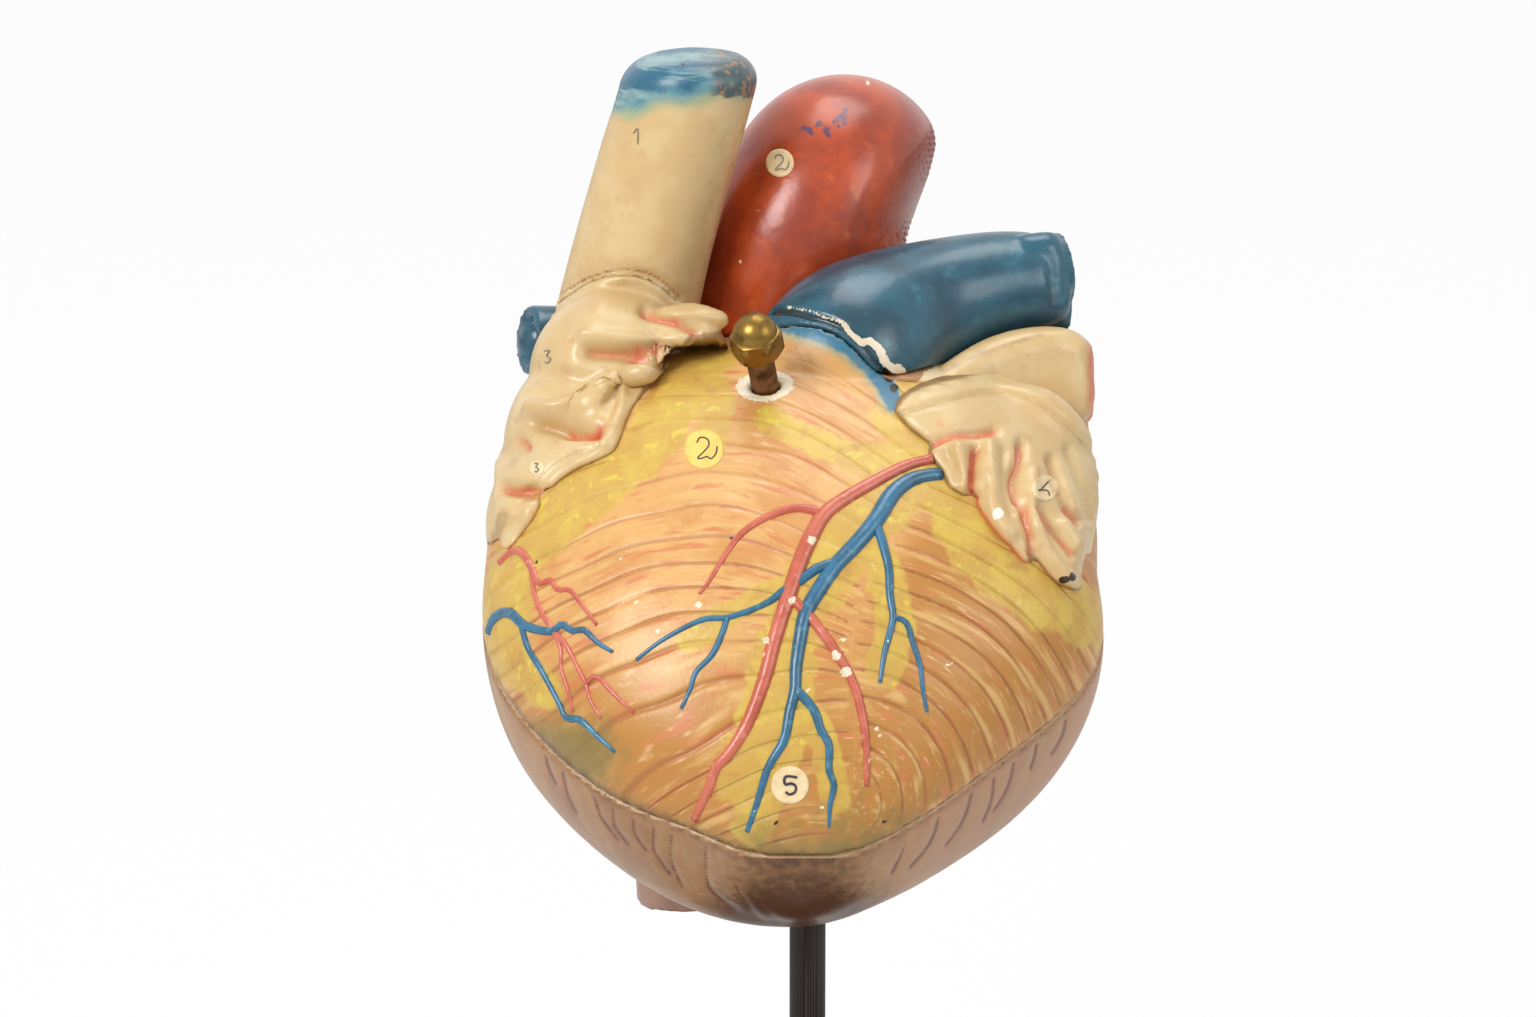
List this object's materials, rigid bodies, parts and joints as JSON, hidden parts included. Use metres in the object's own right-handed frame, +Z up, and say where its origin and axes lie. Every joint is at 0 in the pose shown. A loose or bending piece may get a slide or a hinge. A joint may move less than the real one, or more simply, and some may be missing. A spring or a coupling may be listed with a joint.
{
  "type": "human heart anatomy model",
  "caption": "Painted heart teaching model on a turned stand: the front casting lifts off a stud and cap nut, and the heart turns on its rod.",
  "frame": {"origin": "centre of the base's underside, on the rod's axis", "axes": "+Z up along the rod, -Y towards the demonstrator who faces the front casting, +X to the demonstrator's right"},
  "size_m": [0.168, 0.1957, 0.291],
  "materials": {
    "muscle": "satin oil paint on plaster",
    "atrium_wall": "satin oil paint on plaster",
    "artery_red": "gloss oil paint",
    "vein_blue": "gloss oil paint",
    "valve_tissue": "satin oil paint",
    "brass": "aged",
    "steel": "dull",
    "rod_paint": "gloss",
    "base_wood": "ebonised and polished",
    "baize": "felted"
  },
  "bodies": {
    "stand": {"base_plinth": "base_wood", "base_baize": "baize", "stand_rod": "rod_paint", "rod_washer": "steel", "rod_nut": "steel"},
    "heart": {"rear_body": "muscle", "rod_socket": "brass", "stud_anchor": "brass", "locating_dowels": "brass", "superior_vena_cava": "atrium_wall", "inferior_vena_cava": "vein_blue", "aorta": "artery_red", "pulmonary_trunk": "vein_blue", "right_pulmonary_artery": "vein_blue", "left_pulmonary_veins": "atrium_wall", "right_pulmonary_veins": "atrium_wall", "tricuspid_valve": "valve_tissue", "mitral_valve": "valve_tissue", "aortic_valve": "valve_tissue", "pulmonary_valve": "valve_tissue", "papillary_muscles": "muscle", "tendinous_cords": "valve_tissue", "coronary_sinus": "vein_blue", "posterior_artery": "artery_red"},
    "front": {"front_wall": "muscle", "right_auricle": "atrium_wall", "left_auricle": "atrium_wall", "pulmonary_cone": "muscle", "left_coronary_artery": "artery_red", "great_cardiac_vein": "vein_blue", "right_coronary_branches": "artery_red", "small_cardiac_vein": "vein_blue"},
    "stud": {"front_stud": "steel"},
    "nut": {"acorn_nut": "brass"}
  },
  "joints": [
    {"name": "heart_turn", "type": "hinge", "parent": "stand", "child": "heart", "pos_m": [0, 0, 0.166], "axis": [0, 0, 1], "continuous": true},
    {"name": "front_lift", "type": "slide", "parent": "heart", "child": "front", "axis": [-0.1357, -0.4954, 0.858], "range_m": [0, 0.08]},
    {"name": "stud_screw", "type": "slide", "parent": "front", "child": "stud", "axis": [-0.1357, -0.4954, 0.858], "range_m": [-0.009, 0.014]},
    {"name": "nut_turn", "type": "hinge", "parent": "stud", "child": "nut", "pos_m": [-0.0094, 0.00175, 0.22577], "axis": [-0.1357, -0.4954, 0.858], "continuous": true}
  ]
}
